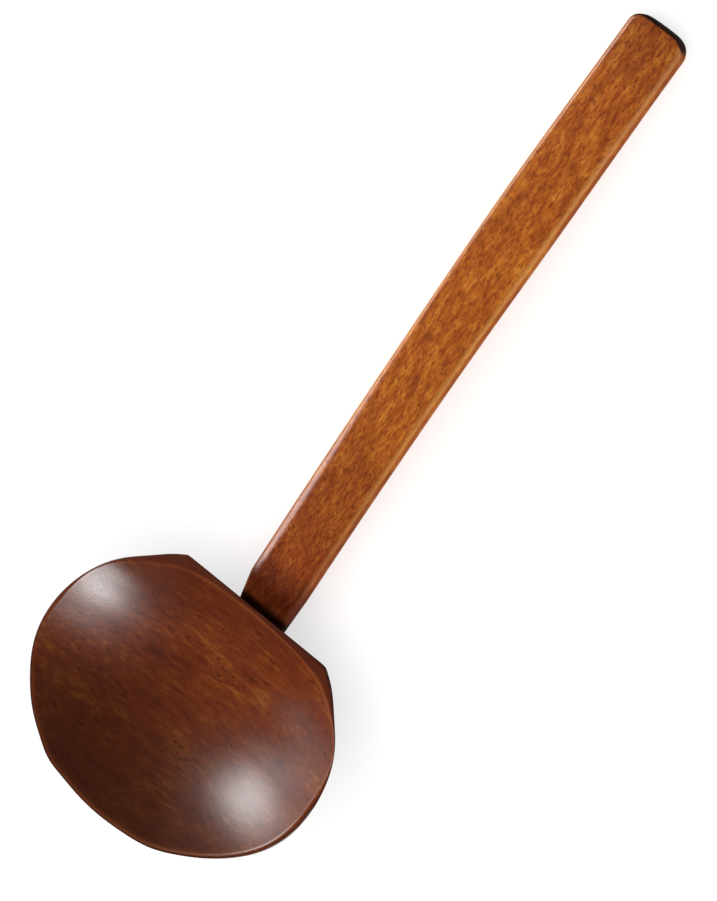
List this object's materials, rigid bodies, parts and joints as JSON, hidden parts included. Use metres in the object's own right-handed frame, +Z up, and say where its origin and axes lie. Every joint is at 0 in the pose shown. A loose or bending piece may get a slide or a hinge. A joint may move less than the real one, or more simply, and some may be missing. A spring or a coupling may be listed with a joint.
{
  "type": "wooden ladle",
  "caption": "Two-piece wooden ladle: a wide oval scoop carved from dark wood with a flat back, and a flat, slightly arched bar handle tenoned into it.",
  "frame": {"origin": "middle of the ladle's footprint, on the table it lies on", "axes": "+Z up, +Y towards the handle's tip, X across the bowl"},
  "size_m": [0.085, 0.2424, 0.0394],
  "materials": {
    "bowl_wood": "dark red-brown stain under satin lacquer",
    "handle_wood": "orange-brown stain under satin lacquer"
  },
  "bodies": {
    "root": {"bowl": "bowl_wood", "handle": "handle_wood"}
  },
  "joints": []
}
